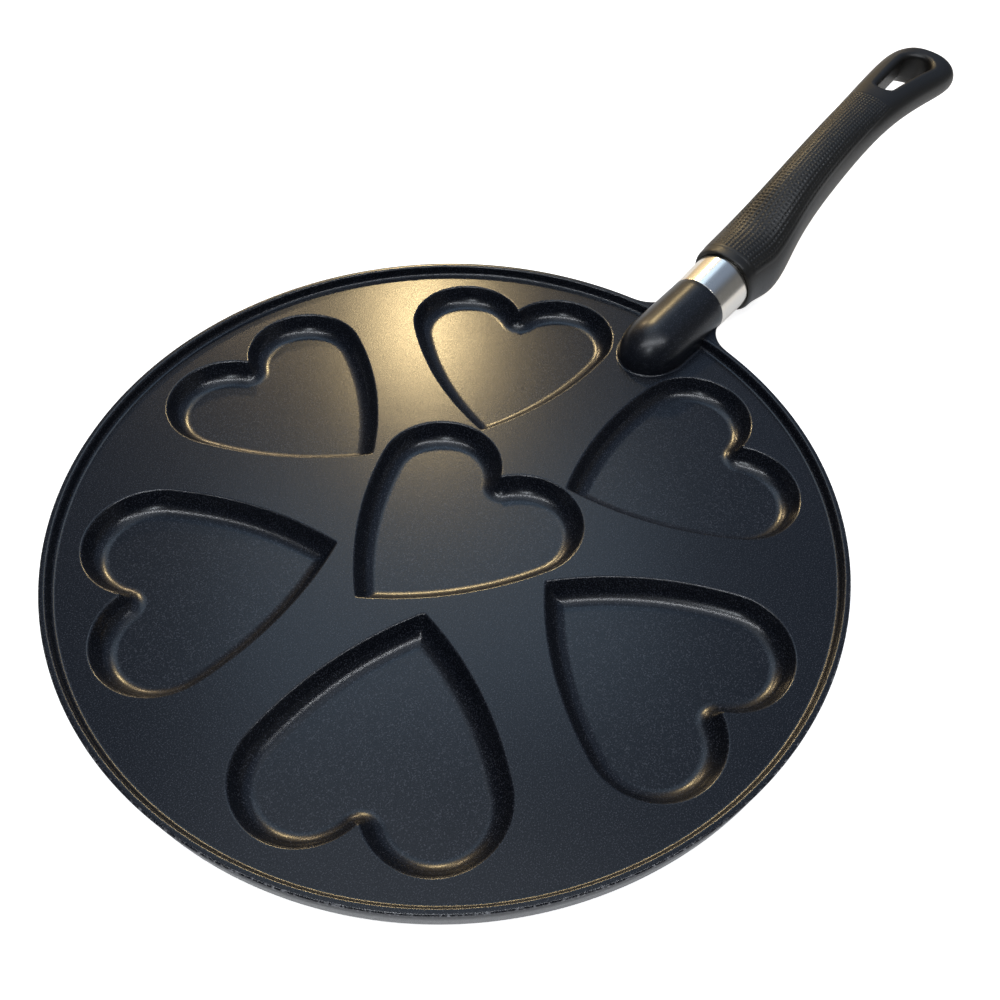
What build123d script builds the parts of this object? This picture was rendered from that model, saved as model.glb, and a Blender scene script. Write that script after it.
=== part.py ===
from build123d import *
import math
import os

# A round cast pancake pan with seven heart-shaped wells and a screwed-on moulded grip.
# Millimetres. +Z is up, the origin is the centre of the base, and the grip lies along +X.

# Pan plate, rim and base
rim_radius = 135.0
pan_height = 15.0
rim_step = 3.75
rim_top_width = 2.4
rim_wall_run = 0.5
rim_wall_fillet = 1.4
rim_outer_fillet = 0.6
rim_inner_fillet = 1.0
wall_lean = 1.8
base_edge_fillet = 2.5
foot_inset = 13.0
foot_relief = 0.8

# Heart wells, laid out between the middle of the pan and the rim.
# The ring's tips lie a small gap beyond half a well's length from the middle.
# A share is a part of a well's length.
well_depth = 6.9
well_rim_margin = 10.0
well_ring_gap = 1.3
well_width_share = 1.0137
lobe_offset_share = 0.2372
tip_half_angle = 52.7
cleft_radius = 0.9
well_wall_run = 3.1
well_floor_fillet = 6.0
well_edge_fillet = 1.1
outer_well_count = 6
centre_shift_share = 0.0733

# Boss, cast with the pan. The tip of its nose starts just under the plate's surface.
handle_tilt = 8.9
boss_overhang = 10.3
boss_length = 46.0
boss_nose_sink = 0.97
boss_nose_length = 17.0
boss_nose_radius = 13.3
boss_shoulder_radius = 12.5
boss_foot_fillet = 1.0
boss_foot_margin = 1.8
boss_skirt_depth = 8.0
flank_radius = 14.0
flank_depth = 9.0
flank_end_gap = 0.8
register_length = 3.0
neck_radius = 8.0
neck_flat_width = 13.0
neck_in_grip = 13.0

# Sleeve between boss and grip
sleeve_shown = 17.1
sleeve_hidden = 3.5
sleeve_step = 0.05
sleeve_growth = 0.45
sleeve_wall = 0.8

# Grip stations, from the grip's front face along the line of the screw, or back from its end.
# A rise is how far the middle of the section lies above that line.
lip_rise = 0.3
lip_side_wall = 0.46
lip_top_wall = 0.66
collar_at = 3.5
collar_rise = -0.1
collar_flare = 0.7
heel_at = 18.0
heel_rise = -2.3
heel_width = 31.0
heel_height = 32.6
throat_at = 38.0
throat_rise = 3.9
throat_width = 25.8
throat_height = 31.8
waist_at = 74.0
waist_rise = 14.1
waist_width = 21.6
waist_height = 25.2
wrist_from_end = 57.0
wrist_rise = 17.7
wrist_width = 24.4
wrist_height = 17.0
paddle_from_end = 27.0
paddle_rise = 14.5
paddle_width = 30.6
paddle_height = 16.8
grip_length = 169.0
end_rise = 9.3
end_width = 32.2
end_height = 16.4
end_corner = 11.2
end_round = 5.0
end_thickness = 5.2
lip_angles = [0, 35, 65]
end_angles = [0, 20, 38, 54, 68, 80, 90]
section_power = 2.35
section_points = 16

# Hanging hole through the grip's end
hole_from_end = 19.0
hole_length = 29.5
hole_wide_radius = 6.8
hole_narrow_radius = 3.6
hole_top_fillet = 2.4
hole_bottom_fillet = 4.0

# Inside of the grip
socket_end_gap = 1.0
screw_seat = 33.0
screw_recess_length = 70.0

# Screw and washers
screw_radius = 3.0
screw_length = 40.0
screw_point = 0.8
tap_spare = 3.2
head_radius = 5.4
head_height = 4.0
head_fillet = 1.6
drive_span = 6.0
drive_width = 1.4
drive_depth = 2.2
washer_radius = 6.0
washer_thickness = 1.6
spring_washer_radius = 5.2
spring_washer_thickness = 1.6
split_gap = 1.2
split_turn = 20.0
split_slant = 18.0

# Fits
sleeve_clearance = 0.15
socket_clearance = 0.25
thread_clearance = 0.05
washer_clearance = 0.3
recess_clearance = 0.5

# How far cast features reach into each other, and how near counts as touching
overlap = 0.15
touch = 0.01

plate_height = pan_height - rim_step
rim_inside = rim_radius - rim_top_width
plate_radius = rim_inside - rim_wall_run
foot_radius = rim_radius - foot_inset

# From the middle out there are half a well, the gap, a whole well and the margin.
well_length = (plate_radius - well_rim_margin - well_ring_gap) / (0.5 + 1)
well_width = well_length * well_width_share
lobe_offset = well_length * lobe_offset_share
lobe_radius = well_width / 2 - lobe_offset
outer_tip_radius = well_length / 2 + well_ring_gap
centre_tip_reach = well_length * (0.5 + centre_shift_share)

shoulder_reach = rim_radius + boss_overhang
shoulder_rise = plate_height - boss_nose_sink + boss_length * math.sin(math.radians(handle_tilt))
neck_length = sleeve_shown + neck_in_grip
sleeve_length = sleeve_shown + sleeve_hidden
sleeve_start_radius = boss_shoulder_radius + sleeve_step
sleeve_end_radius = sleeve_start_radius + sleeve_growth * sleeve_length / sleeve_shown
counterbore_radius = sleeve_end_radius + sleeve_clearance
lip_width = 2 * (counterbore_radius + lip_side_wall)
lip_height = 2 * (counterbore_radius + lip_top_wall)
collar_width = lip_width + 2 * collar_flare
collar_height = lip_height + 2 * collar_flare
wrist_at = grip_length - wrist_from_end
paddle_at = grip_length - paddle_from_end
washer_hole_radius = screw_radius + washer_clearance
screw_recess_radius = washer_radius + recess_clearance
head_seat = screw_seat + washer_thickness + spring_washer_thickness
tapped_depth = neck_in_grip + screw_length - head_seat + tap_spare

# Local frames: both have +X out along the screw. The first starts in the middle of the boss
# shoulder, the second in the middle of the grip's front face. The third is level, at the grip's end.
handle_frame = Pos(shoulder_reach, 0, shoulder_rise) * Rot(0, -handle_tilt, 0)
grip_frame = handle_frame * Pos(sleeve_shown, 0, 0)
grip_end = Pos((grip_frame * Pos(grip_length, 0, end_rise)).position)


def rod(start, length, radius):
    """Round bar along +X."""
    turned = Rot(0, 90, 0) * Cylinder(radius, length, align=(Align.CENTER, Align.CENTER, Align.MIN))
    return Pos(start, 0, 0) * turned


def heart_outline(inset):
    """Closed outline of a well, its tip at the origin and its lobes towards +X."""
    lobe_x = well_length - lobe_radius
    lobe_y = lobe_offset
    sine = math.sin(math.radians(tip_half_angle))
    cosine = math.cos(math.radians(tip_half_angle))
    # The side arc starts at the tip and runs on, tangent, into the lobe.
    lean = sine * lobe_x - cosine * lobe_y
    side_radius = (lobe_x**2 + lobe_y**2 - lobe_radius**2) / (2 * (lean - lobe_radius))
    side_centre = Vector(side_radius * sine, -side_radius * cosine)
    lobe_centre = Vector(lobe_x, lobe_y)
    cleft_centre = Vector(lobe_x + math.sqrt((lobe_radius + cleft_radius) ** 2 - lobe_y**2), 0)

    lobe_inset = lobe_radius - inset
    side_inset = side_radius - inset
    tip = Vector(side_centre.X - math.sqrt(side_inset**2 - side_centre.Y**2), 0)
    join = lobe_centre + (lobe_centre - side_centre).normalized() * lobe_inset
    notch = lobe_centre + (cleft_centre - lobe_centre).normalized() * lobe_inset
    notch_tip = cleft_centre - Vector(cleft_radius + inset, 0)
    side_middle = side_centre + ((tip + join) * 0.5 - side_centre).normalized() * side_inset
    join_turn = math.atan2(join.Y - lobe_y, join.X - lobe_x)
    notch_turn = math.atan2(notch.Y - lobe_y, notch.X - lobe_x)
    middle_turn = (join_turn + notch_turn) / 2
    lobe_middle = lobe_centre + Vector(math.cos(middle_turn), math.sin(middle_turn)) * lobe_inset

    def mirrored(point):
        return Vector(point.X, -point.Y)

    return [
        ThreePointArc(tip, side_middle, join),
        ThreePointArc(join, lobe_middle, notch),
        ThreePointArc(notch, notch_tip, mirrored(notch)),
        ThreePointArc(mirrored(notch), mirrored(lobe_middle), mirrored(join)),
        ThreePointArc(mirrored(join), mirrored(side_middle), tip),
    ]


def heart_cutter():
    """What a well takes out of the plate: sloped walls and a rounded floor edge."""
    mouth = Pos(0, 0, plate_height) * make_face(heart_outline(0))
    floor = Pos(0, 0, plate_height - well_depth) * make_face(heart_outline(well_wall_run))
    sloped = loft([floor, mouth], ruled=True)
    return fillet(sloped.edges().group_by(Axis.Z)[0], well_floor_fillet)


def pan_plate():
    """Plate with its base, leaning outer wall and raised rim, turned about +Z."""
    base_radius = rim_radius - wall_lean
    corners = [
        (0, 0),
        (foot_radius, 0),
        (foot_radius + foot_relief, foot_relief),
        (base_radius, foot_relief),
        (rim_radius, pan_height),
        (rim_inside, pan_height),
        (plate_radius, plate_height),
        (0, plate_height),
    ]
    rounds = [0, 0, 0, base_edge_fillet, rim_outer_fillet, rim_inner_fillet, rim_wall_fillet, 0]
    profile = FilletPolyline(*corners, radius=rounds, close=True)
    return revolve(Plane.XZ * make_face(profile), Axis.Z)


def cut_wells(plate):
    """Sink one well in the middle and the others round it, their tips inward."""
    places = [Pos(-centre_tip_reach, 0, 0)]
    for turn in range(outer_well_count):
        angle = 360 / outer_well_count * (turn + 0.5)
        places.append(Rot(0, 0, angle) * Pos(outer_tip_radius, 0, 0))
    cutter = heart_cutter()
    for place in places:
        plate = plate - place * cutter
    level_edges = plate.edges().filter_by_position(Axis.Z, plate_height, plate_height)
    mouth_edges = [edge for edge in level_edges if edge.length < rim_radius]
    return fillet(mouth_edges, well_edge_fillet)


def boss_side_radius(reach):
    """Radius of the boss at a distance back from its shoulder."""
    growth = (boss_nose_radius - boss_shoulder_radius) / (boss_length - boss_nose_length)
    return boss_shoulder_radius + growth * reach


def boss_skirt():
    """Below its widest line the boss runs straight down into the plate, inside the rim."""
    front = boss_nose_length - boss_length
    back = -(shoulder_reach - rim_inside + overlap)
    half_front = boss_nose_radius - overlap
    half_back = boss_side_radius(-back) - overlap
    corners = [(front, -half_front), (back, -half_back), (back, half_back), (front, half_front)]
    return extrude(make_face(Polyline(*corners, close=True)), -boss_skirt_depth)


def boss_solid():
    """Boss with its round nose, its foot on the plate, and the neck that enters the grip."""
    nose_end = boss_nose_length - boss_length
    nose = EllipticalCenterArc((nose_end, 0), boss_nose_length, boss_nose_radius, start_angle=90, arc_size=90)
    side = Line((nose_end, boss_nose_radius), (0, boss_shoulder_radius))
    end = Polyline((0, boss_shoulder_radius), (0, 0), (-boss_length, 0))
    boss = handle_frame * (revolve(make_face([nose, side, end]), Axis.X) + boss_skirt())

    # Cut level inside the plate, then stand it on a piece of the plate to round its foot.
    buried_end = rim_inside - rim_top_width / 2
    buried_level = foot_relief + base_edge_fillet
    below = Box(boss_length * 2, rim_radius, pan_height * 2, align=(Align.MAX, Align.CENTER, Align.MAX))
    boss = boss - Pos(buried_end, 0, buried_level) * below
    nose_x = shoulder_reach + nose_end
    half_block = boss_nose_radius + boss_foot_margin
    block_front = Ellipse(boss_nose_length + boss_foot_margin, half_block)
    block_back = Rectangle(buried_end - nose_x, half_block * 2, align=(Align.MIN, Align.CENTER))
    block_limit = Rectangle(boss_length * 2, rim_radius, align=(Align.MAX, Align.CENTER))
    block_plan = Pos(nose_x, 0) * (block_front + block_back) & Pos(buried_end, 0) * block_limit
    on_block = boss + extrude(Pos(0, 0, buried_level) * block_plan, plate_height - buried_level)
    level_edges = on_block.edges().filter_by_position(Axis.Z, plate_height, plate_height)
    foot_edges = [edge for edge in level_edges if boss.distance_to(edge.position_at(0.5)) < touch]
    boss = fillet(foot_edges, boss_foot_fillet)

    # The round register that centres the sleeve, and the neck with two flats and a tapped hole.
    register = rod(0, register_length, sleeve_start_radius - sleeve_wall - sleeve_clearance)
    neck = rod(0, neck_length, neck_radius)
    across = Box(neck_length, neck_flat_width, neck_radius * 2, align=(Align.MIN, Align.CENTER, Align.CENTER))
    tapped = rod(neck_length - tapped_depth, tapped_depth, screw_radius + thread_clearance)
    return (boss + handle_frame * (register + (neck & across))) - handle_frame * tapped


def flank_face(level):
    """Plan of the web that blends the rim into one side of the boss, at one level."""
    wall_radius = rim_radius - wall_lean * (pan_height - level) / (pan_height - foot_relief)
    axis_level = shoulder_rise - flank_end_gap * math.tan(math.radians(handle_tilt))
    half_width = math.sqrt(boss_side_radius(flank_end_gap) ** 2 - (axis_level - level) ** 2) - overlap
    on_boss = Vector(shoulder_reach - flank_end_gap, half_width)
    # The hollow arc leaves the wall tangent and ends on the boss just before its shoulder.
    far = wall_radius + flank_radius
    along = (far**2 - flank_radius**2 + on_boss.length**2) / (2 * on_boss.length)
    outward = on_boss.normalized()
    centre = outward * along + Vector(-outward.Y, outward.X) * math.sqrt(far**2 - along**2)
    on_wall = centre * (wall_radius / far)
    hollow = centre + ((on_wall + on_boss) * 0.5 - centre).normalized() * flank_radius
    buried = rim_top_width / 2
    corners = [
        on_boss,
        on_boss - Vector(0, buried),
        Vector(wall_radius - buried, half_width - buried),
        on_wall * (1 - buried / wall_radius),
        on_wall,
    ]
    return Pos(0, 0, level) * make_face([ThreePointArc(on_wall, hollow, on_boss), Polyline(*corners)])


def pan_body():
    """The casting: plate with wells, boss, and the webs between them."""
    levels = [pan_height - flank_depth, pan_height - flank_depth / 2, pan_height]
    web = loft([flank_face(level) for level in levels], ruled=True)
    top_edges = web.edges().filter_by_position(Axis.Z, pan_height, pan_height)
    web = fillet(top_edges.filter_by(GeomType.CIRCLE), rim_outer_fillet)
    return cut_wells(pan_plate()) + boss_solid() + web + mirror(web, Plane.XZ)


def flame_guard():
    """Thin sleeve, slightly wider towards the grip, that covers the neck."""
    corners = [
        (0, sleeve_start_radius),
        (sleeve_length, sleeve_end_radius),
        (sleeve_length, sleeve_end_radius - sleeve_wall),
        (0, sleeve_start_radius - sleeve_wall),
    ]
    return handle_frame * revolve(make_face(Polyline(*corners, close=True)), Axis.X)


def grip_section(at, rise, width, height):
    """Cross-section of the grip: an oval with fuller corners than an ellipse."""
    points = []
    for step in range(section_points):
        angle = 2 * math.pi * step / section_points - math.pi / 2
        across = math.copysign(abs(math.cos(angle)) ** (2 / section_power), math.cos(angle))
        upward = math.copysign(abs(math.sin(angle)) ** (2 / section_power), math.sin(angle))
        points.append((at, across * width / 2, rise + upward * height / 2))
    return make_face(Spline(*points, periodic=True))


def grip_sections():
    """Sections from the rounded lip, over the heel and the waist, to the rounded end."""
    sections = []
    for angle in lip_angles:
        forward = 1 - math.cos(math.radians(angle))
        outward = math.sin(math.radians(angle))
        rise = lip_rise + (collar_rise - lip_rise) * outward
        width = lip_width + (collar_width - lip_width) * outward
        height = lip_height + (collar_height - lip_height) * outward
        sections.append(grip_section(collar_at * forward, rise, width, height))
    sections.append(grip_section(collar_at, collar_rise, collar_width, collar_height))
    sections.append(grip_section(heel_at, heel_rise, heel_width, heel_height))
    sections.append(grip_section(throat_at, throat_rise, throat_width, throat_height))
    sections.append(grip_section(waist_at, waist_rise, waist_width, waist_height))
    sections.append(grip_section(wrist_at, wrist_rise, wrist_width, wrist_height))
    sections.append(grip_section(paddle_at, paddle_rise, paddle_width, paddle_height))
    slope = (end_rise - paddle_rise) / paddle_from_end
    for angle in end_angles:
        at = grip_length - end_corner + end_corner * math.sin(math.radians(angle))
        width = end_width - 2 * end_corner * (1 - math.cos(math.radians(angle)))
        into_round = max(0, 1 - (grip_length - at) / end_round)
        height = end_thickness + (end_height - end_thickness) * math.sqrt(1 - into_round**2)
        sections.append(grip_section(at, end_rise - slope * (grip_length - at), width, height))
    return sections


def hanging_hole():
    """Upright teardrop hole, wide towards the grip's end."""
    wide_x = grip_end.position.X - hole_from_end
    narrow_x = wide_x - hole_length
    sine = (hole_wide_radius - hole_narrow_radius) / hole_length
    cosine = math.sqrt(1 - sine**2)
    wide_side = (wide_x - hole_wide_radius * sine, hole_wide_radius * cosine)
    narrow_side = (narrow_x - hole_narrow_radius * sine, hole_narrow_radius * cosine)
    wide_other = (wide_side[0], -wide_side[1])
    narrow_other = (narrow_side[0], -narrow_side[1])
    outline = [
        ThreePointArc(wide_other, (wide_x + hole_wide_radius, 0), wide_side),
        Line(wide_side, narrow_side),
        ThreePointArc(narrow_side, (narrow_x - hole_narrow_radius, 0), narrow_other),
        Line(narrow_other, wide_other),
    ]
    return extrude(make_face(outline), grip_end.position.Z + end_height * 2)


def hole_edges(moulding, hole, upper):
    """Edges of the hanging hole on the upper or the lower face of the grip."""
    chosen = []
    for edge in moulding.edges():
        middle = edge.position_at(0.5)
        lies_flat = edge.bounding_box().size.Z < end_height / 2
        if lies_flat and (middle.Z > grip_end.position.Z) == upper and hole.distance_to(middle) < touch:
            chosen.append(edge)
    return chosen


def grip():
    """Moulded grip with its front counterbore, neck socket, screw recess and hanging hole."""
    counterbore = rod(0, sleeve_hidden, counterbore_radius)
    socket = rod(0, neck_in_grip + socket_end_gap, neck_radius + socket_clearance)
    socket_limit = Box(grip_length, neck_flat_width + 2 * socket_clearance, neck_radius * 4)
    screw_way = rod(0, screw_seat, washer_hole_radius)
    recess = rod(screw_seat, screw_recess_length, screw_recess_radius)
    moulding = loft(grip_sections()) - counterbore - (socket & socket_limit) - screw_way - recess
    hole = hanging_hole()
    moulding = grip_frame * moulding - hole
    moulding = fillet(hole_edges(moulding, hole, upper=True), hole_top_fillet)
    return fillet(hole_edges(moulding, hole, upper=False), hole_bottom_fillet)


def handle_screw():
    """Pan-head screw with a cross recess, its point inside the neck."""
    head = fillet(rod(head_seat, head_height, head_radius).edges().group_by(Axis.X)[-1], head_fillet)
    shank = rod(head_seat - screw_length, screw_length, screw_radius)
    shank = chamfer(shank.edges().group_by(Axis.X)[0], screw_point)
    away = (Align.MAX, Align.CENTER, Align.CENTER)
    slot = Box(drive_depth, drive_span, drive_width, align=away)
    cross = slot + Rot(90, 0, 0) * slot
    return grip_frame * (head + shank - Pos(head_seat + head_height, 0, 0) * cross)


def flat_washer():
    """Plain washer on the seat inside the grip."""
    ring = rod(screw_seat, washer_thickness, washer_radius)
    ring = ring - rod(screw_seat, washer_thickness, washer_hole_radius)
    return grip_frame * ring


def spring_washer():
    """Split washer under the screw head."""
    start = screw_seat + washer_thickness
    ring = rod(start, spring_washer_thickness, spring_washer_radius)
    ring = ring - rod(start, spring_washer_thickness, washer_hole_radius)
    split = Box(spring_washer_thickness * 2, split_gap, spring_washer_radius * 2)
    split = Rot(0, 0, split_slant) * Pos(0, 0, spring_washer_radius) * Rot(split_turn, 0, 0) * split
    return grip_frame * (ring - Pos(start + spring_washer_thickness / 2, 0, 0) * split)


nodes = {
    "pan_body": pan_body,
    "flame_guard": flame_guard,
    "grip": grip,
    "handle_screw": handle_screw,
    "flat_washer": flat_washer,
    "spring_washer": spring_washer,
}
os.makedirs("parts", exist_ok=True)
for name, build in nodes.items():
    export_step(build(), f"parts/{name}.step")
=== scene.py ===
import math

import bmesh
import bpy
from mathutils import Matrix, Vector
from mathutils.bvhtree import BVHTree
from mathutils.geometry import delaunay_2d_cdt


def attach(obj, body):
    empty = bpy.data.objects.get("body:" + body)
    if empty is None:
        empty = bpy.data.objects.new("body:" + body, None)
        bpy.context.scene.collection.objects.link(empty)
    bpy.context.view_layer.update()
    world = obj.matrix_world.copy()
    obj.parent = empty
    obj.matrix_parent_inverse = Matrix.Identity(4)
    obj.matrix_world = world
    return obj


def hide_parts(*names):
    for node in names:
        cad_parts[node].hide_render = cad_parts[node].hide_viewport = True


# A round cast pancake pan with seven heart-shaped wells and a moulded grip.
# +Z is up, the origin is the centre of the base, and the grip lies along +X.
# The scene is in metres. Shapes are worked out in millimetres and scaled when a mesh is made.

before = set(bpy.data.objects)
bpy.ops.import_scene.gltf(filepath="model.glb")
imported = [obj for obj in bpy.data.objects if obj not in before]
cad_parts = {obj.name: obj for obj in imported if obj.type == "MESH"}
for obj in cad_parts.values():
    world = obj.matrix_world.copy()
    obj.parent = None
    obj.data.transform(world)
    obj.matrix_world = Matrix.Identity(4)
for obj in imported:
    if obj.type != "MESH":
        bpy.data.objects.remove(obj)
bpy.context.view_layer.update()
MM = 0.001

# Camera: where it stands, what it looks at, its tilt about the line of sight and its lens
camera_place = Vector((-0.151469, -0.149988, 0.279668))
camera_target = Vector((0.02178, -0.01394, 0.011))
camera_roll = math.radians(3.87)
focal_pixels = 986.6426
frame_pixels = 1000.0
frame_middle = (526.484, 500.507)
sensor_width = 36.0
near_clip = 0.01

# Lamps: name, azimuth, elevation, distance, size, watts and colour
lamp_aim = Vector((0.06, 0.0, 0.01))
lamps = [
    ("warm_lamp", 49.3, 39.3, 1.6, (0.10, 0.10), 5.6, (1.0, 0.75, 0.38)),
    ("low_warm_lamp", 62.0, 27.0, 1.6, (0.12, 0.12), 2.4, (1.0, 0.74, 0.42)),
    ("back_softbox", 49.0, 58.0, 1.5, (0.8, 0.5), 1.6, (0.54, 0.76, 1.0)),
    ("top_softbox", 120.0, 84.0, 1.6, (0.9, 0.9), 1.6, (0.85, 0.93, 1.0)),
    ("overhead_tube", -141.0, 73.0, 1.6, (2.0, 0.05), 12.0, (0.92, 0.95, 1.0)),
    ("near_lamp", -152.0, 52.0, 1.6, (0.09, 0.3), 2.6, (0.88, 0.94, 1.0)),
]

# Surroundings: a dark ground, then glows, each a direction, where it starts and is full, and a colour
dark_surroundings = (0.014, 0.017, 0.024)
glows = [
    ((0.52, 0.20, 0.83), 0.55, 0.93, (0.18, 0.24, 0.35)),
    ((0.6, -0.78, 0.15), 0.7, 0.98, (0.16, 0.165, 0.17)),
    ((0.57, 0.80, 0.18), 0.86, 0.99, (0.66, 0.52, 0.34)),
]

# Floor
floor_half_width = 4.0
floor_grey = 0.8
floor_glow_to_camera = 0.85
floor_glow_in_gloss = 0.22

# Every made piece
weld_distance = 0.0005
sharp_edge_angle = math.radians(38)

# Plate, rim and base, in millimetres
rim_radius = 135.0
rim_top = 15.0
rim_inside = 132.6
wall_foot_radius = 132.1
wall_foot_fillet = 1.4
wall_foot_reach = 1.23
rim_inner_fillet = 1.0
rim_outer_fillet = 0.6
plate_level = 11.25
base_radius = 133.2
base_fillet = 2.5
foot_radius = 122.0
foot_relief = 0.8
rim_segments = 512

# Heart wells
well_count = 6
well_length = 80.533
lobe_offset = 19.10
lobe_radius = 21.72
tip_half_angle = math.radians(52.7)
cleft_radius = 0.9
ring_tip_radius = 41.57
middle_tip_reach = 46.17
well_depth = 6.9
wall_run = 3.1
mouth_fillet = 1.1
floor_fillet = 6.0
tip_round = 1.2
flat_margin = 0.2
tip_steps = 5
side_steps = 34
lobe_steps = 56
cleft_steps = 8
mouth_steps = 7
floor_steps = 9

# Boss: its axis leans back from the middle of the shoulder
handle_tilt = math.radians(8.9)
shoulder = Vector((145.3, 0.0, 17.397))
boss_length = 46.0
nose_length = 17.0
nose_radius = 13.3
shoulder_radius = 12.5
shoulder_edge = 0.15
boss_segments = 96
cone_steps = 12
nose_steps = 24
buried_end = 131.4
buried_level = 3.3

# Rounded foot of the boss on the plate
skirt_inset = 0.15
foot_fillet = 1.0
foot_steps = 8
foot_outline_steps = 60
foot_start_inset = 0.6
foot_straight_length = 20.0
foot_buried_width = 2.0
foot_buried_depth = 0.4
foot_edge_steps = [(0.25, -foot_buried_depth), (0.2, -0.012)]
foot_side_rise = 0.001
foot_roof_rise = 0.3

# Webs between the rim and the boss
web_radius = 14.0
web_depth = 9.0
web_end_gap = 0.8
web_edge_round = 0.6
web_steps = 28
web_level_steps = 6
web_buried_depth = 3.2
web_thin_end = 0.02
web_thin_width = 0.05
web_roof_depth = 0.3

# Register, neck and tapped hole
register_radius = 11.6
register_length = 3.0
register_buried = 0.5
neck_length = 30.1
neck_radius = 8.0
neck_half_width = 6.5
neck_buried = 1.0
tapped_radius = 3.05
tapped_length = 20.0

# Sleeve
sleeve_length = 20.6
sleeve_start_radius = 12.55
sleeve_end_radius = 13.09
sleeve_wall = 0.8
sleeve_edge_round = 0.22
sleeve_cone_start = 0.3
sleeve_segments = 256
# The rolled front edge, as shares of its radius: place along and how far inside the sleeve
sleeve_edge_shares = [(0.0, 1.0), (0.08, 0.6), (0.3, 0.28), (0.6, 0.08), (1.0, 0.0)]

# Dimpled skin on the grip's upper face
grip_start = 17.1
grip_half_heights = [(0.0, 14.0), (18.0, 16.3), (38.0, 15.9), (74.0, 12.6), (112.0, 8.5)]
ray_length = 60.0
ray_steps = 80
skin_from = 3.4
skin_to = 110.5
skin_half_turn = math.radians(60)
skin_rows = 16
skin_height = 0.19
skin_sink = 0.12
skin_underside = -0.35
skin_fineness = 4
dimple_pitch_along = 1.7
dimple_radius = 0.66
dimple_depth = 0.2
# Rings of a dimple: share of its radius and share of its depth
dimple_rings = [(1.0, 0.0), (0.82, 0.35), (0.45, 0.9)]

# Materials: pairs are the two ends of a mottle or of a range
noise_middle = (0.3, 0.7)
coat_ground = ((0.0035, 0.0045, 0.0075), (0.0055, 0.0068, 0.0105))
coat_speck = (0.044, 0.048, 0.060)
coat_chip = (0.06, 0.061, 0.064)
coat_worn_edge = (0.34, 0.34, 0.35)
coat_roughness = (0.21, 0.28)
wall_extra_roughness = 0.22
boss_extra_roughness = 0.07
sleeve_colour = (0.92, 0.86, 0.77)
sleeve_roughness = (0.18, 0.26)
sleeve_draw_stretch = 30.0
grip_ground = ((0.0100, 0.0092, 0.0080), (0.0140, 0.0128, 0.0114))
grip_roughness = (0.36, 0.46)
zinc_mottle = 0.8
# Small metal parts: node, material, colour and roughness
small_parts = [
    ("handle_screw", "screw_zinc", (0.62, 0.62, 0.60), 0.3),
    ("flat_washer", "washer_zinc", (0.58, 0.58, 0.57), 0.35),
    ("spring_washer", "spring_steel", (0.40, 0.39, 0.38), 0.4),
]


def node_tree(material):
    """Empty node tree of a material, with its output."""
    material.use_nodes = True
    tree = material.node_tree
    tree.nodes.clear()
    return tree, tree.nodes.new("ShaderNodeOutputMaterial")


def add_camera():
    """Camera at the photograph's place, with the photograph's frame."""
    forward = (camera_target - camera_place).normalized()
    level = forward.cross(Vector((0, 0, 1))).normalized()
    upright = level.cross(forward)
    right = level * math.cos(camera_roll) + upright * math.sin(camera_roll)
    up = right.cross(forward)
    data = bpy.data.cameras.new("camera")
    data.sensor_width = sensor_width
    data.lens = sensor_width * focal_pixels / frame_pixels
    data.shift_x = 0.5 - frame_middle[0] / frame_pixels
    data.shift_y = frame_middle[1] / frame_pixels - 0.5
    data.clip_start = near_clip
    camera = bpy.data.objects.new("camera", data)
    facing = Matrix((right, up, -forward)).transposed().to_4x4()
    camera.matrix_world = Matrix.Translation(camera_place) @ facing
    bpy.context.scene.collection.objects.link(camera)
    bpy.context.scene.camera = camera


def add_lamp(name, azimuth, elevation, distance, size, watts, colour):
    """Soft rectangular lamp that faces the pan from a direction, angles in degrees."""
    data = bpy.data.lights.new(name, "AREA")
    data.shape = "RECTANGLE"
    data.size, data.size_y = size
    data.energy = watts
    data.color = colour
    lamp = bpy.data.objects.new(name, data)
    az, el = math.radians(azimuth), math.radians(elevation)
    away = Vector((math.cos(el) * math.cos(az), math.cos(el) * math.sin(az), math.sin(el)))
    lamp.location = lamp_aim + away * distance
    lamp.rotation_euler = (-away).to_track_quat("-Z", "Y").to_euler()
    bpy.context.scene.collection.objects.link(lamp)


def add_world():
    """Dark surroundings with a few soft glows, white where the camera looks straight at them."""
    world = bpy.data.worlds.new("surroundings")
    world.use_nodes = True
    bpy.context.scene.world = world
    tree = world.node_tree
    tree.nodes.clear()
    output = tree.nodes.new("ShaderNodeOutputWorld")
    seen = tree.nodes.new("ShaderNodeBackground")
    seen.inputs["Color"].default_value = (1, 1, 1, 1)
    around = tree.nodes.new("ShaderNodeBackground")
    direction = tree.nodes.new("ShaderNodeTexCoord").outputs["Generated"]

    def towards(axis, low, high):
        """Share of light that grows towards one direction."""
        node = tree.nodes.new("ShaderNodeVectorMath")
        node.operation = "DOT_PRODUCT"
        node.inputs[1].default_value = axis
        tree.links.new(direction, node.inputs[0])
        return ranged(tree, node.outputs["Value"], low, high, smooth=True)

    light = dark_surroundings
    for axis, low, high, colour in glows:
        light = blended(tree, towards(axis, low, high), light, colour)
    tree.links.new(light, around.inputs["Color"])
    path = tree.nodes.new("ShaderNodeLightPath")
    mix = tree.nodes.new("ShaderNodeMixShader")
    tree.links.new(path.outputs["Is Camera Ray"], mix.inputs[0])
    tree.links.new(around.outputs[0], mix.inputs[1])
    tree.links.new(seen.outputs[0], mix.inputs[2])
    tree.links.new(mix.outputs[0], output.inputs["Surface"])


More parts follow.
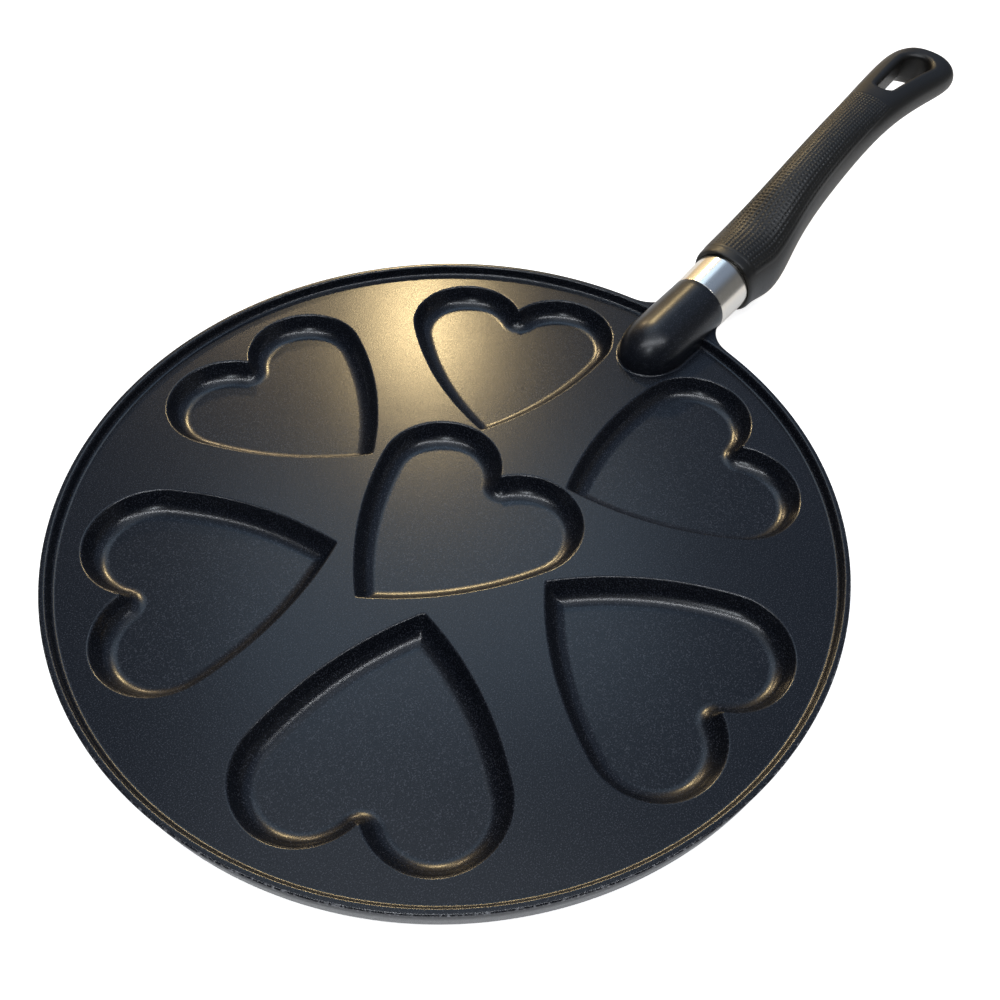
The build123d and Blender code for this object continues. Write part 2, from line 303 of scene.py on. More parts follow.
def add_floor():
    """Plain pale floor that shows white and keeps the shadow."""
    half = floor_half_width
    corners = [(-half, -half, 0), (half, -half, 0), (half, half, 0), (-half, half, 0)]
    mesh = bpy.data.meshes.new("floor")
    mesh.from_pydata(corners, [], [(0, 1, 2, 3)])
    floor = bpy.data.objects.new("floor", mesh)
    bpy.context.scene.collection.objects.link(floor)
    material = bpy.data.materials.new("pale_floor")
    tree, output = node_tree(material)
    diffuse = tree.nodes.new("ShaderNodeBsdfDiffuse")
    diffuse.inputs["Color"].default_value = (floor_grey, floor_grey, floor_grey, 1)
    glow = tree.nodes.new("ShaderNodeEmission")
    path = tree.nodes.new("ShaderNodeLightPath")
    lift = tree.nodes.new("ShaderNodeMath")
    lift.operation = "MULTIPLY"
    lift.inputs[1].default_value = floor_glow_to_camera
    tree.links.new(path.outputs["Is Camera Ray"], lift.inputs[0])
    shine = tree.nodes.new("ShaderNodeMath")
    shine.operation = "MULTIPLY_ADD"
    shine.inputs[1].default_value = floor_glow_in_gloss
    tree.links.new(path.outputs["Is Glossy Ray"], shine.inputs[0])
    tree.links.new(lift.outputs[0], shine.inputs[2])
    tree.links.new(shine.outputs[0], glow.inputs["Strength"])
    both = tree.nodes.new("ShaderNodeAddShader")
    tree.links.new(diffuse.outputs[0], both.inputs[0])
    tree.links.new(glow.outputs[0], both.inputs[1])
    tree.links.new(both.outputs[0], output.inputs["Surface"])
    floor.data.materials.append(material)


# --- Mesh helpers. Points are in millimetres. ---


def add_strip(mesh, rows, around=True, caps=False):
    """Quads between rows of equal length.

    around closes each row, and caps puts a face on the first and the last row.
    """
    made = [[mesh.verts.new(point) for point in row] for row in rows]
    count = len(made[0])
    last = count if around else count - 1
    for near, far in zip(made, made[1:]):
        for i in range(last):
            j = (i + 1) % count
            mesh.faces.new((near[i], near[j], far[j], far[i]))
    if caps:
        mesh.faces.new(list(reversed(made[0])))
        mesh.faces.new(made[-1])
    return made


def add_fan(mesh, ring, middle):
    """Triangles from a ring of vertices to one middle point."""
    tip = mesh.verts.new(middle)
    for i, vert in enumerate(ring):
        mesh.faces.new((vert, ring[(i + 1) % len(ring)], tip))


def open_edges(mesh):
    """Edges that have only one face."""
    return [edge for edge in mesh.edges if edge.is_boundary]


def finish_piece(name, mesh, material, replaced=()):
    """Weld, close, orient and shade a mesh, and put it in the frame as one piece."""
    bmesh.ops.remove_doubles(mesh, verts=mesh.verts, dist=weld_distance)
    # The flats leave slivers open beside the wells' clefts and tips.
    # The second fill closes what the first can't.
    bmesh.ops.holes_fill(mesh, edges=open_edges(mesh), sides=0)
    bmesh.ops.triangle_fill(mesh, edges=open_edges(mesh), use_beauty=True)
    bmesh.ops.recalc_face_normals(mesh, faces=mesh.faces)
    bmesh.ops.scale(mesh, vec=(MM, MM, MM), verts=mesh.verts)
    data = bpy.data.meshes.new(name)
    mesh.to_mesh(data)
    mesh.free()
    data.shade_smooth()
    data.set_sharp_from_angle(angle=sharp_edge_angle)
    data.materials.append(material)
    piece = bpy.data.objects.new(name, data)
    bpy.context.scene.collection.objects.link(piece)
    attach(piece, "root")
    if replaced:
        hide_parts(*replaced)


def rounded(corners, steps=8):
    """Open profile through corners (a, b, radius), each corner rounded by its radius."""
    points = []
    for i, (a, b, radius) in enumerate(corners):
        here = Vector((a, b))
        if not radius:
            points.append(here)
            continue
        back = (Vector(corners[i - 1][:2]) - here).normalized()
        ahead = (Vector(corners[i + 1][:2]) - here).normalized()
        half = back.angle(ahead) / 2
        reach = radius / math.tan(half)
        centre = here + (back + ahead).normalized() * (radius / math.sin(half))
        start = here + back * reach - centre
        turn = start.angle_signed(here + ahead * reach - centre)
        for step in range(steps + 1):
            angle = -turn * step / steps
            spun = Vector((
                start.x * math.cos(angle) - start.y * math.sin(angle),
                start.x * math.sin(angle) + start.y * math.cos(angle),
            ))
            points.append(centre + spun)
    return points


def ring_round_z(radius, level, count):
    """Circle of points round the pan's axis at one level."""
    angles = [2 * math.pi * i / count for i in range(count)]
    return [Vector((radius * math.cos(angle), radius * math.sin(angle), level)) for angle in angles]


def on_handle(along, across, up):
    """Point in the boss's frame, +X out along the screw, as a point of the part."""
    sine, cosine = math.sin(handle_tilt), math.cos(handle_tilt)
    return shoulder + Vector((along * cosine - up * sine, across, along * sine + up * cosine))


def handle_ring(along, radius, count):
    """Circle of points round the screw's axis at a place along it."""
    ring = []
    for i in range(count):
        angle = 2 * math.pi * i / count
        ring.append(on_handle(along, radius * math.sin(angle), radius * math.cos(angle)))
    return ring


# --- The casting ---


def arc_points(centre, radius, start, end, count):
    """Points on an arc, without its last point, angles in radians."""
    return [
        Vector((
            centre.x + radius * math.cos(start + (end - start) * i / count),
            centre.y + radius * math.sin(start + (end - start) * i / count),
        ))
        for i in range(count)
    ]


def heart_ring(inset):
    """Closed outline of a well at an inset, its tip at the origin and its lobes towards +X.

    Each half is four arcs: the tip, the long side, the lobe and the cleft between the lobes.
    """
    lobe = Vector((well_length - lobe_radius, lobe_offset))
    sine, cosine = math.sin(tip_half_angle), math.cos(tip_half_angle)
    lean = sine * lobe.x - cosine * lobe.y
    side_radius = (lobe.x**2 + lobe.y**2 - lobe_radius**2) / (2 * (lean - lobe_radius))
    side = Vector((side_radius * sine, -side_radius * cosine))
    cleft = Vector((lobe.x + math.sqrt((lobe_radius + cleft_radius) ** 2 - lobe.y**2), 0.0))
    inner = side_radius - inset
    blunt = Vector((side.x - math.sqrt((inner - tip_round) ** 2 - side.y**2), 0.0))
    touch = blunt - side
    join = lobe - side
    notch = cleft - lobe

    to_touch = math.atan2(touch.y, touch.x)
    to_join = math.atan2(join.y, join.x)
    to_notch = math.atan2(notch.y, notch.x)
    from_notch = math.atan2(-notch.y, -notch.x)
    half = arc_points(blunt, tip_round, math.pi, to_touch, tip_steps)
    half += arc_points(side, inner, to_touch, to_join, side_steps)
    half += arc_points(lobe, lobe_radius - inset, to_join, to_notch, lobe_steps)
    half += arc_points(cleft, cleft_radius + inset, from_notch, math.pi, cleft_steps)
    last = Vector((cleft.x - cleft_radius - inset, 0.0))
    other = [Vector((p.x, -p.y)) for p in reversed(half[1:])]
    return half + [last] + other


def well_profile():
    """Rings of a well from the plate to its floor, as pairs of inset and depth."""
    slope = math.atan2(well_depth, wall_run)
    mouth_reach = mouth_fillet * math.tan(slope / 2)
    floor_reach = floor_fillet * math.tan(slope / 2)
    rings = []
    for step in range(mouth_steps + 1):
        turn = slope * step / mouth_steps
        rings.append((-mouth_reach + mouth_fillet * math.sin(turn), mouth_fillet * (1 - math.cos(turn))))
    for step in range(floor_steps + 1):
        turn = slope * (1 - step / floor_steps)
        inset = wall_run + floor_reach - floor_fillet * math.sin(turn)
        rings.append((inset, well_depth - floor_fillet * (1 - math.cos(turn))))
    return rings


def fill_flat(mesh, outlines, level, keep):
    """Triangles between closed outlines at one level. keep says which centre belongs to the flat."""
    points, edges = [], []
    for outline in outlines:
        first = len(points)
        points += [Vector((p[0], p[1])) for p in outline]
        count = len(outline)
        edges += [(first + i, first + (i + 1) % count) for i in range(count)]
    verts, _, faces, *_ = delaunay_2d_cdt(points, edges, [], 0, 1e-5)
    made = [mesh.verts.new((v.x, v.y, level)) for v in verts]
    for face in faces:
        centre = sum((verts[i] for i in face), Vector((0.0, 0.0))) / len(face)
        if keep(centre):
            mesh.faces.new([made[i] for i in face])


def inside(point, outline):
    """Whether a point lies inside a closed outline."""
    result = False
    count = len(outline)
    for i in range(count):
        a, b = outline[i], outline[(i + 1) % count]
        if (a[1] > point[1]) != (b[1] > point[1]):
            if point[0] < (b[0] - a[0]) * (point[1] - a[1]) / (b[1] - a[1]) + a[0]:
                result = not result
    return result


def well_places():
    """Angle and tip radius of every well, the middle one first."""
    places = [(0.0, -middle_tip_reach)]
    for turn in range(well_count):
        places.append((math.radians(360 / well_count * (turn + 0.5)), ring_tip_radius))
    return places


def placed(outline, angle, reach):
    """An outline moved out from the pan's axis and turned round it."""
    cosine, sine = math.cos(angle), math.sin(angle)
    return [
        Vector(((p.x + reach) * cosine - p.y * sine, (p.x + reach) * sine + p.y * cosine))
        for p in outline
    ]


def add_plate(mesh):
    """Plate with its rim, base and seven wells, one closed shell."""
    profile = [Vector((wall_foot_radius - wall_foot_reach - flat_margin, plate_level))]
    # The first corner only gives the direction in which the plate meets the wall.
    profile += rounded([
        (wall_foot_radius - 3, plate_level, 0),
        (wall_foot_radius, plate_level, wall_foot_fillet),
        (rim_inside, rim_top, rim_inner_fillet),
        (rim_radius, rim_top, rim_outer_fillet),
        (base_radius, foot_relief, base_fillet),
        (foot_radius + foot_relief, foot_relief, 0),
        (foot_radius, 0, 0),
        (foot_radius - 1, 0, 0),
    ])[1:]
    rows = add_strip(mesh, [ring_round_z(p.x, p.y, rim_segments) for p in profile])
    add_fan(mesh, rows[-1], (0, 0, 0))

    wells = []
    rings = well_profile()
    for angle, reach in well_places():
        margin = placed(heart_ring(rings[0][0] - flat_margin), angle, reach)
        levels = [[Vector((p.x, p.y, plate_level)) for p in margin]]
        for inset, depth in rings:
            outline = placed(heart_ring(inset), angle, reach)
            levels.append([Vector((p.x, p.y, plate_level - depth)) for p in outline])
        floor = placed(heart_ring(rings[-1][0] + flat_margin), angle, reach)
        levels.append([Vector((p.x, p.y, plate_level - well_depth)) for p in floor])
        add_strip(mesh, levels)
        fill_flat(mesh, [floor], plate_level - well_depth, lambda c, edge=floor: inside(c, edge))
        wells.append(margin)
    edge = [(p.x, p.y) for p in ring_round_z(profile[0].x, 0, rim_segments)]
    on_plate = lambda c: not any(inside(c, well) for well in wells)
    fill_flat(mesh, [edge] + wells, plate_level, on_plate)


def boss_radius(back):
    """Radius of the boss at a distance back from its shoulder."""
    nose_start = boss_length - nose_length
    if back <= nose_start:
        return shoulder_radius + (nose_radius - shoulder_radius) * back / nose_start
    into_nose = min(1.0, (back - nose_start) / nose_length)
    return nose_radius * math.sqrt(max(0.0, 1 - into_nose**2))


def add_turned(mesh, profile, segments):
    """Shape turned about the boss's axis from pairs of place along and radius, its ends closed."""
    rows = [handle_ring(along, radius, segments) for along, radius in profile]
    # Inside the plate, the lower half stays over the base.
    for point in (point for row in rows for point in row):
        if point.x < buried_end:
            point.z = max(point.z, buried_level)
    made = add_strip(mesh, rows)
    add_fan(mesh, made[0], on_handle(profile[0][0], 0, 0))
    add_fan(mesh, made[-1], on_handle(profile[-1][0], 0, 0))


def boss_profile():
    """Boss from its shoulder's edge to the tip of its nose."""
    nose_start = boss_length - nose_length
    edge = shoulder_edge
    profile = [(0.0, shoulder_radius - 1.0), (0.0, shoulder_radius - edge)]
    profile += [(-edge * 0.3, shoulder_radius - edge * 0.3), (-edge, shoulder_radius)]
    for i in range(1, cone_steps + 1):
        back = nose_start * i / cone_steps
        profile.append((-back, boss_radius(back)))
    for i in range(1, nose_steps):
        angle = math.pi / 2 * i / nose_steps
        profile.append((-(nose_start + nose_length * math.sin(angle)), nose_radius * math.cos(angle)))
    return profile


def boss_outline():
    """Half of the boss's outline on the plate, from the rim to the nose: place and height of its side."""
    outline = []
    sine, cosine = math.sin(handle_tilt), math.cos(handle_tilt)
    start = (shoulder.x - rim_inside - foot_start_inset) / cosine
    for i in range(foot_outline_steps + 1):
        back = start + (boss_length - start) * math.sin(math.pi / 2 * i / foot_outline_steps)
        axis_level = shoulder.z - back * sine
        drop = (plate_level - axis_level) / cosine
        radius = boss_radius(back)
        if abs(drop) >= radius and drop > 0:
            break
        across = math.sqrt(radius**2 - drop**2) if drop > 0 else radius - skirt_inset
        across = min(across, radius - skirt_inset)
        place = shoulder.x - back * cosine - drop * sine
        outline.append((place, across, max(0.0, axis_level - plate_level)))
    # The last point lies on the middle line, where the nose meets the plate.
    low, high = boss_length * 0.8, boss_length
    for _ in range(40):
        back = (low + high) / 2
        drop = (plate_level - shoulder.z + back * sine) / cosine
        low, high = (back, high) if boss_radius(back) > drop else (low, back)
    outline.append((shoulder.x - low * cosine - drop * sine, 0.0, 0.0))
    return outline


def add_boss_foot(mesh):
    """Upright side and rounded foot of the boss, one closed strip round its nose."""
    half = boss_outline()
    path = [(x, -y, h) for x, y, h in half[:-1]] + [half[-1]]
    path += [(x, y, h) for x, y, h in reversed(half[:-1])]
    nose_middle = shoulder.x - boss_length + nose_length
    straight_from = rim_inside - foot_straight_length
    rows = []
    for i, (x, y, height) in enumerate(path):
        before, after = path[max(0, i - 1)], path[min(len(path) - 1, i + 1)]
        along = Vector((after[0] - before[0], after[1] - before[1])).normalized()
        outward = Vector((-along.y, along.x))
        if x >= straight_from:
            outward = Vector((0.0, math.copysign(1.0, y)))
        elif outward.dot(Vector((x - nose_middle, y))) < 0:
            outward = -outward
        side = max(height, foot_fillet)
        shape = [(-foot_buried_width, -foot_buried_depth)]
        shape += [(foot_fillet + out, level) for out, level in foot_edge_steps]
        for step in range(foot_steps + 1):
            turn = math.pi / 2 * step / foot_steps
            shape.append((foot_fillet * (1 - math.sin(turn)), foot_fillet * (1 - math.cos(turn))))
        shape += [(0.0, side + foot_side_rise), (-foot_buried_width, side + foot_roof_rise)]
        row = [Vector((x + outward.x * o, y + outward.y * o, plate_level + h)) for o, h in shape]
        rows.append(row)
    add_strip(mesh, rows, caps=True)


def web_arc(level):
    """Hollow arc from the rim's outer wall to the side of the boss at one level: centre and two angles."""
    wall = rim_radius - (rim_radius - base_radius) * (rim_top - level) / (rim_top - foot_relief)
    axis_level = shoulder.z - web_end_gap * math.tan(handle_tilt)
    half_width = math.sqrt(boss_radius(web_end_gap) ** 2 - (axis_level - level) ** 2) - skirt_inset
    end = Vector((shoulder.x - web_end_gap, half_width))
    far = wall + web_radius
    along = (far**2 - web_radius**2 + end.length**2) / (2 * end.length)
    outward = end.normalized()
    centre = outward * along + Vector((-outward.y, outward.x)) * math.sqrt(far**2 - along**2)
    start = centre * (wall / far)
    first = math.atan2(start.y - centre.y, start.x - centre.x)
    last = math.atan2(end.y - centre.y, end.x - centre.x)
    if last - first > math.pi:
        last -= 2 * math.pi
    if first - last > math.pi:
        last += 2 * math.pi
    return centre, first, last


def web_shape():
    """Levels of the web's outer face from the top down, each with how far its edge is rounded back."""
    shape = []
    for i in range(web_level_steps + 1):
        turn = math.pi / 2 * (web_level_steps - i) / web_level_steps
        level = rim_top - web_edge_round * (1 - math.sin(turn))
        shape.append((level, web_edge_round * (1 - math.cos(turn))))
    top = rim_top - web_edge_round
    bottom = rim_top - web_depth
    shape += [(top - (top - bottom) * i / web_level_steps, 0.0) for i in range(1, web_level_steps + 1)]
    return shape


def add_web(mesh, side):
    """Web with a hollow outer face between the rim and one side of the boss."""
    shape = web_shape()
    rows = []
    for step in range(web_steps + 1):
        share = step / web_steps
        row = []
        for level, inset in shape:
            centre, first, last = web_arc(level)
            angle = first + (last - first) * share
            radius = web_radius + inset
            row.append(Vector((
                centre.x + radius * math.cos(angle),
                (centre.y + radius * math.sin(angle)) * side,
                level,
            )))
        top = Vector(row[0].xy)
        low = row[-1]
        inner = top.normalized() * (rim_radius - web_edge_round)
        # Where the web thins out against the rim, its roof narrows to nothing.
        if inner.length > top.length - web_thin_end:
            inner = top * (1 - web_thin_width / rim_radius)
        deep = Vector(low.xy).normalized() * (rim_radius - web_buried_depth)
        row.insert(0, Vector((inner.x, inner.y, rim_top)))
        row.append(Vector((deep.x, deep.y, low.z)))
        row.append(Vector((inner.x, inner.y, rim_top - web_roof_depth)))
        rows.append(row)
    add_strip(mesh, rows, caps=True)


def add_neck(mesh):
    """Neck with two flats and a tapped hole."""
    def flat_sided(along):
        """Ring of the neck, cut off at its two flats."""
        row = []
        for i in range(boss_segments):
            angle = 2 * math.pi * i / boss_segments
            across = max(-neck_half_width, min(neck_half_width, neck_radius * math.sin(angle)))
            row.append(on_handle(along, across, neck_radius * math.cos(angle)))
        return row

    hole_end = neck_length - tapped_length
    rows = add_strip(mesh, [
        flat_sided(-neck_buried),
        flat_sided(neck_length),
        handle_ring(neck_length, tapped_radius, boss_segments),
        handle_ring(hole_end, tapped_radius, boss_segments),
    ])
    add_fan(mesh, rows[0], on_handle(-neck_buried, 0, 0))
    add_fan(mesh, rows[-1], on_handle(hole_end, 0, 0))


def build_casting(material):
    """Plate, rim, wells, boss, webs and neck."""
    mesh = bmesh.new()
    add_plate(mesh)
    add_turned(mesh, boss_profile(), boss_segments)
    add_boss_foot(mesh)
    add_web(mesh, 1)
    add_web(mesh, -1)
    register = [(-register_buried, register_radius), (register_length, register_radius)]
    add_turned(mesh, register, boss_segments)
    add_neck(mesh)
    finish_piece("casting", mesh, material, ("pan_body",))


# --- The sleeve and the grip ---


def build_sleeve(material):
    """Thin drawn sleeve, slightly wider towards the grip, its front edge rolled smooth."""
    mesh = bmesh.new()
    edge = sleeve_edge_round
    growth = (sleeve_end_radius - sleeve_start_radius) / sleeve_length
    profile = [(0.0, sleeve_start_radius - sleeve_wall)]
    profile += [(edge * along, sleeve_start_radius - edge * short) for along, short in sleeve_edge_shares]
    profile += [
        (edge + sleeve_cone_start, sleeve_start_radius + sleeve_cone_start * growth),
        (sleeve_length, sleeve_end_radius),
        (sleeve_length, sleeve_end_radius - sleeve_wall),
    ]
    profile.append(profile[0])
    add_strip(mesh, [handle_ring(along, radius, sleeve_segments) for along, radius in profile])
    finish_piece("sleeve", mesh, material, ("flame_guard",))


def half_height(along):
    """Half the grip's height at a place behind its front face."""
    for (near, a), (far, b) in zip(grip_half_heights, grip_half_heights[1:]):
        if along <= far:
            return a + (b - a) * (along - near) / (far - near)
    return grip_half_heights[-1][1]


def grip_surface(columns, rows):
    """Points and normals of the grip's upper face, evenly spaced across every column by arc length."""
    tree = BVHTree.FromObject(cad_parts["grip"], bpy.context.evaluated_depsgraph_get())
    upright = on_handle(0, 0, 1) - on_handle(0, 0, 0)
    table = []
    for i in range(columns + 1):
        along = grip_start + skin_from + (skin_to - skin_from) * i / columns
        axis = on_handle(along, 0, 0)
        top = tree.ray_cast((axis + upright * ray_length) * MM, -upright)[0] / MM
        middle = top - upright * half_height(along - grip_start)
        hits = []
        for j in range(2 * ray_steps + 1):
            angle = skin_half_turn * (j / ray_steps - 1)
            away = on_handle(0, math.sin(angle), math.cos(angle)) - on_handle(0, 0, 0)
            hit, normal = tree.ray_cast((middle + away * ray_length) * MM, -away)[:2]
            hits.append((hit / MM, normal))
        lengths = [0.0]
        for (a, _), (b, _) in zip(hits, hits[1:]):
            lengths.append(lengths[-1] + (b - a).length)
        column = []
        j = 0
        for k in range(rows + 1):
            goal = lengths[-1] * k / rows
            while j < len(hits) - 2 and lengths[j + 1] < goal:
                j += 1
            share = (goal - lengths[j]) / (lengths[j + 1] - lengths[j])
            (a, na), (b, nb) = hits[j], hits[j + 1]
            column.append((a.lerp(b, share), na.lerp(nb, share).normalized()))
        table.append((column, lengths[-1]))
    return table


def build_grip_skin(material):
    """Thin closed skin with rows of round dimples that follow the grip's edges."""
    fine = skin_fineness
    cells_along = round((skin_to - skin_from) / dimple_pitch_along)
    table = grip_surface(cells_along * 2, skin_rows * fine)

    def at(u, v, height):
        """Point above the grip's face, u and v counted in dimples along and across."""
        x = min(max(u * 2, 0.0), len(table) - 1.0)
        y = min(max(v * fine, 0.0), skin_rows * fine)
        i, j = min(int(x), len(table) - 2), min(int(y), skin_rows * fine - 1)
        fx, fy = x - i, y - j
        near, far = table[i][0], table[i + 1][0]
        point = near[j][0].lerp(near[j + 1][0], fy).lerp(far[j][0].lerp(far[j + 1][0], fy), fx)
        normal = near[j][1].lerp(near[j + 1][1], fy).lerp(far[j][1].lerp(far[j + 1][1], fy), fx)
        return point + normal.normalized() * height

    mesh = bmesh.new()
    upper, lower = {}, {}
    for a in range(cells_along * 2 + 1):
        for b in range(skin_rows * 2 + 1):
            if a % 2 and b % 2:
                continue
            edge = a in (0, cells_along * 2) or b in (0, skin_rows * 2)
            upper[a, b] = mesh.verts.new(at(a / 2, b / 2, -skin_sink if edge else skin_height))
            lower[a, b] = upper[a, b] if edge else mesh.verts.new(at(a / 2, b / 2, skin_underside))
    around = [(0, 0), (1, 0), (2, 0), (2, 1), (2, 2), (1, 2), (0, 2), (0, 1)]
    for a in range(cells_along):
        for b in range(skin_rows):
            corners = [(a * 2 + i, b * 2 + j) for i, j in around]
            outer = [upper[c] for c in corners]
            mesh.faces.new([lower[c] for c in reversed(corners)])
            if a in (0, cells_along - 1) or b in (0, skin_rows - 1):
                add_fan(mesh, outer, at(a + 0.5, b + 0.5, skin_height))
                continue
            width = table[a * 2 + 1][1] / skin_rows
            rings = [outer]
            for reach, depth in dimple_rings:
                ring = []
                for k in range(len(around)):
                    turn = math.pi * (k - 3) / 4
                    u = a + 0.5 + reach * dimple_radius * math.cos(turn) / dimple_pitch_along
                    v = b + 0.5 + reach * dimple_radius * math.sin(turn) / width
                    ring.append(mesh.verts.new(at(u, v, skin_height - dimple_depth * depth)))
                rings.append(ring)
            for near, far in zip(rings, rings[1:]):
                for k in range(len(around)):
                    m = (k + 1) % len(around)
                    mesh.faces.new((near[k], near[m], far[m], far[k]))
            add_fan(mesh, rings[-1], at(a + 0.5, b + 0.5, skin_height - dimple_depth))
    finish_piece("grip_dimples", mesh, material)


# --- Materials ---


def principled(name, roughness, metallic=0.0):
    """New material with one shader, its tree and the shader."""
    material = bpy.data.materials.new(name)
    tree, output = node_tree(material)
    shader = tree.nodes.new("ShaderNodeBsdfPrincipled")
    shader.inputs["Roughness"].default_value = roughness
    shader.inputs["Metallic"].default_value = metallic
    tree.links.new(shader.outputs[0], output.inputs["Surface"])
    return material, tree, shader


def place_of(tree):
    """Place on the object, in metres."""
    return tree.nodes.new("ShaderNodeTexCoord").outputs["Object"]


def grain(tree, place, scale, detail=2.0, roughness=0.5):
    """Noise on the object, from 0 to 1."""
    node = tree.nodes.new("ShaderNodeTexNoise")
    node.inputs["Scale"].default_value = scale
    node.inputs["Detail"].default_value = detail
    node.inputs["Roughness"].default_value = roughness
    tree.links.new(place, node.inputs["Vector"])
    return node.outputs["Fac"]


def ranged(tree, value, low, high, to_low=0.0, to_high=1.0, smooth=False):
    """Map a value from one range to another, held at both ends."""
    node = tree.nodes.new("ShaderNodeMapRange")
    node.interpolation_type = "SMOOTHSTEP" if smooth else "LINEAR"
    numbers = {"From Min": low, "From Max": high, "To Min": to_low, "To Max": to_high}
    for socket, number in numbers.items():
        node.inputs[socket].default_value = number
    tree.links.new(value, node.inputs["Value"])
    return node.outputs["Result"]


def maths(tree, operation, first, second=0.0):
    """Result of one sum on two values, each a number or a socket."""
    node = tree.nodes.new("ShaderNodeMath")
    node.operation = operation
    for socket, value in zip(node.inputs, (first, second)):
        if isinstance(value, (int, float)):
            socket.default_value = value
        else:
            tree.links.new(value, socket)
    return node.outputs[0]


def product(tree, first, *others):
    """Product of two or more values, each a number or a socket."""
    for other in others:
        first = maths(tree, "MULTIPLY", first, other)
    return first


def past(tree, measure, start, low, high):
    """Share that grows from 0 to 1 between two places, each so many millimetres past a start."""
    return ranged(tree, measure, (start + low) * MM, (start + high) * MM)


def blended(tree, share, first, second):
    """Colour between two colours by a share."""
    node = tree.nodes.new("ShaderNodeMix")
    node.data_type = "RGBA"
    tree.links.new(share, node.inputs[0])
    for socket, colour in zip((node.inputs[6], node.inputs[7]), (first, second)):
        if isinstance(colour, tuple):
            socket.default_value = (*colour, 1)
        else:
            tree.links.new(colour, socket)
    return node.outputs[2]


def bumped(tree, shader, heights):
    """Stack of bumps, each a height, a strength and a distance in metres."""
    last = None
    for height, strength, distance in heights:
        node = tree.nodes.new("ShaderNodeBump")
        node.inputs["Strength"].default_value = strength
        node.inputs["Distance"].default_value = distance
        tree.links.new(height, node.inputs["Height"])
        if last is not None:
            tree.links.new(last, node.inputs["Normal"])
        last = node.outputs["Normal"]
    tree.links.new(last, shader.inputs["Normal"])


def from_axis(tree, place):
    """Distance from the pan's axis and height, in metres."""
    parts = tree.nodes.new("ShaderNodeSeparateXYZ")
    tree.links.new(place, parts.inputs[0])
    x, y, z = parts.outputs
    square = maths(tree, "ADD", product(tree, x, x), product(tree, y, y))
    return maths(tree, "SQRT", square), z


def coat_material():
    """Dark satin coating with fine specks, rougher on the wall and the boss, worn at the rim's edge."""
    material, tree, shader = principled("casting_coat", 0.3)
    place = place_of(tree)
    radius, height = from_axis(tree, place)

    # Where the outer wall, its upper edge and the boss are
    outside = past(tree, radius, rim_radius, -0.8, -0.3)
    wall = product(tree, outside, past(tree, height, rim_top, -0.2, -0.6))
    on_rim = past(tree, radius, rim_radius, 0.3, 0.1)
    off_boss = product(tree, on_rim, past(tree, height, rim_top, 0.2, 0.05))
    edge = product(tree, outside, off_boss, past(tree, height, rim_top, -2.2, -0.8))
    low_boss = product(
        tree, past(tree, height, plate_level, 0.35, 0.75), past(tree, radius, rim_inside, -1.0, -1.4)
    )
    boss = maths(tree, "MAXIMUM", low_boss, past(tree, height, rim_top, 0.1, 0.4))

    cloud = grain(tree, place, 45.0, 3.0)
    speck = ranged(tree, grain(tree, place, 2400.0, 1.0), 0.56, 0.70)
    chips = ranged(tree, grain(tree, place, 700.0, 5.0, 0.8), 0.53, 0.64)
    colour = blended(tree, cloud, *coat_ground)
    colour = blended(tree, speck, colour, coat_speck)
    colour = blended(tree, product(tree, wall, chips), colour, coat_chip)
    colour = blended(tree, product(tree, edge, chips), colour, coat_worn_edge)
    tree.links.new(colour, shader.inputs["Base Color"])

    rough = ranged(tree, grain(tree, place, 2600.0), *noise_middle, *coat_roughness)
    rough = maths(tree, "ADD", rough, product(tree, wall, wall_extra_roughness))
    rough = maths(tree, "ADD", rough, product(tree, boss, boss_extra_roughness))
    tree.links.new(rough, shader.inputs["Roughness"])
    bumped(tree, shader, [
        (grain(tree, place, 90.0), 0.2, 0.0001),
        (grain(tree, place, 2200.0, 2.0, 0.6), 0.8, 0.00002),
    ])
    return material


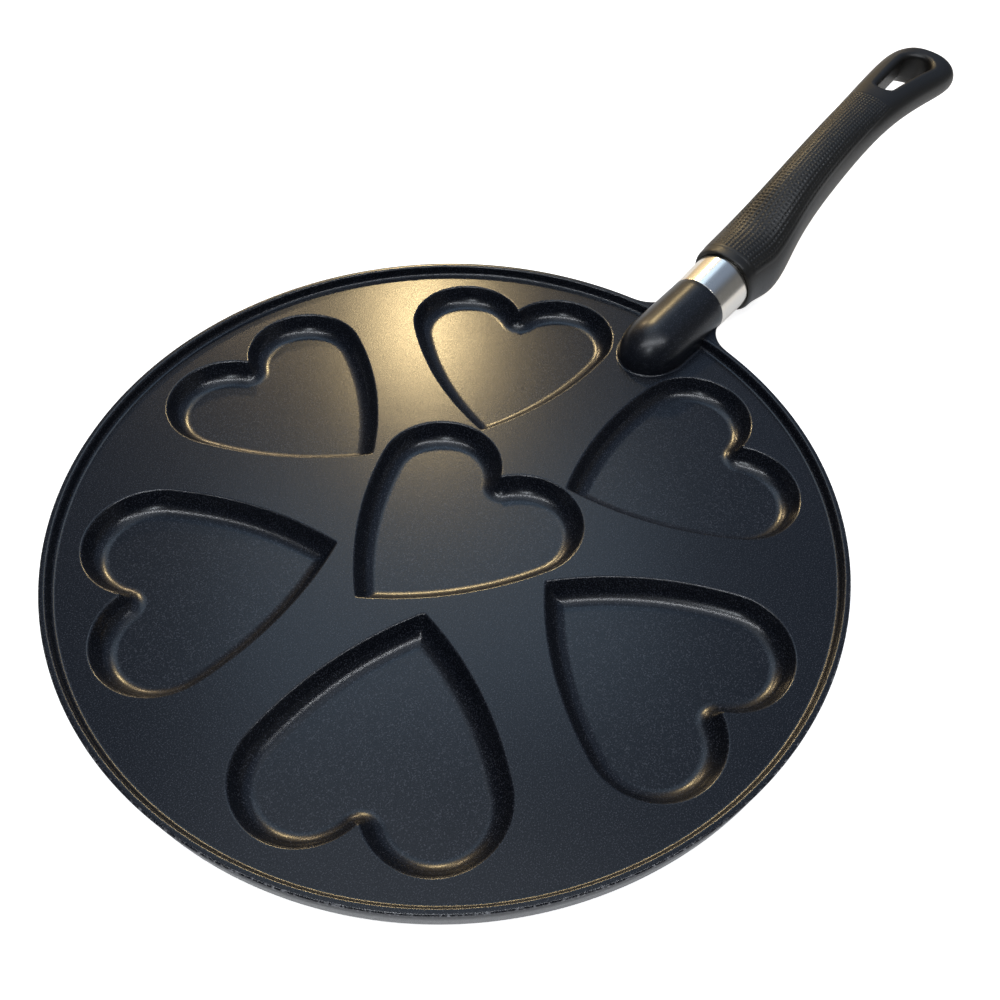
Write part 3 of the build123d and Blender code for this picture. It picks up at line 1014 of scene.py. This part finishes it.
def sleeve_material():
    """Polished steel, very finely drawn round the sleeve."""
    material, tree, shader = principled("sleeve_steel", 0.16, 1.0)
    place = place_of(tree)
    shader.inputs["Base Color"].default_value = (*sleeve_colour, 1)
    stretch = tree.nodes.new("ShaderNodeMapping")
    stretch.inputs["Scale"].default_value = (sleeve_draw_stretch, 1.0, 1.0)
    tree.links.new(place, stretch.inputs["Vector"])
    drawn = grain(tree, stretch.outputs[0], 160.0, 4.0)
    tree.links.new(ranged(tree, drawn, *noise_middle, *sleeve_roughness), shader.inputs["Roughness"])
    bumped(tree, shader, [(drawn, 0.12, 0.00001), (grain(tree, place, 120.0), 0.1, 0.00004)])
    return material


def grip_material():
    """Black moulding with a fine matt grain."""
    material, tree, shader = principled("grip_moulding", 0.42)
    place = place_of(tree)
    cloud = grain(tree, place, 60.0, 3.0)
    tree.links.new(blended(tree, cloud, *grip_ground), shader.inputs["Base Color"])
    fine = grain(tree, place, 1400.0)
    tree.links.new(ranged(tree, fine, *noise_middle, *grip_roughness), shader.inputs["Roughness"])
    bumped(tree, shader, [
        (grain(tree, place, 150.0), 0.15, 0.0001),
        (grain(tree, place, 2600.0), 0.3, 0.00002),
    ])
    return material


def small_part_material(name, colour, roughness):
    """Zinc-plated or spring steel with a light mottle."""
    material, tree, shader = principled(name, roughness, 1.0)
    cloud = grain(tree, place_of(tree), 700.0, 3.0)
    darker = tuple(part * zinc_mottle for part in colour)
    tree.links.new(blended(tree, cloud, darker, colour), shader.inputs["Base Color"])
    bumped(tree, shader, [(cloud, 0.15, 0.00002)])
    return material


def dress(node, material):
    """Give a CAD node its material."""
    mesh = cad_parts[node].data
    mesh.materials.clear()
    mesh.materials.append(material)


add_camera()
for lamp in lamps:
    add_lamp(*lamp)
add_world()
add_floor()
build_casting(coat_material())
build_sleeve(sleeve_material())
moulding = grip_material()
dress("grip", moulding)
build_grip_skin(moulding)
for node, name, colour, roughness in small_parts:
    dress(node, small_part_material(name, colour, roughness))

bpy.context.scene.view_settings.view_transform = "Standard"
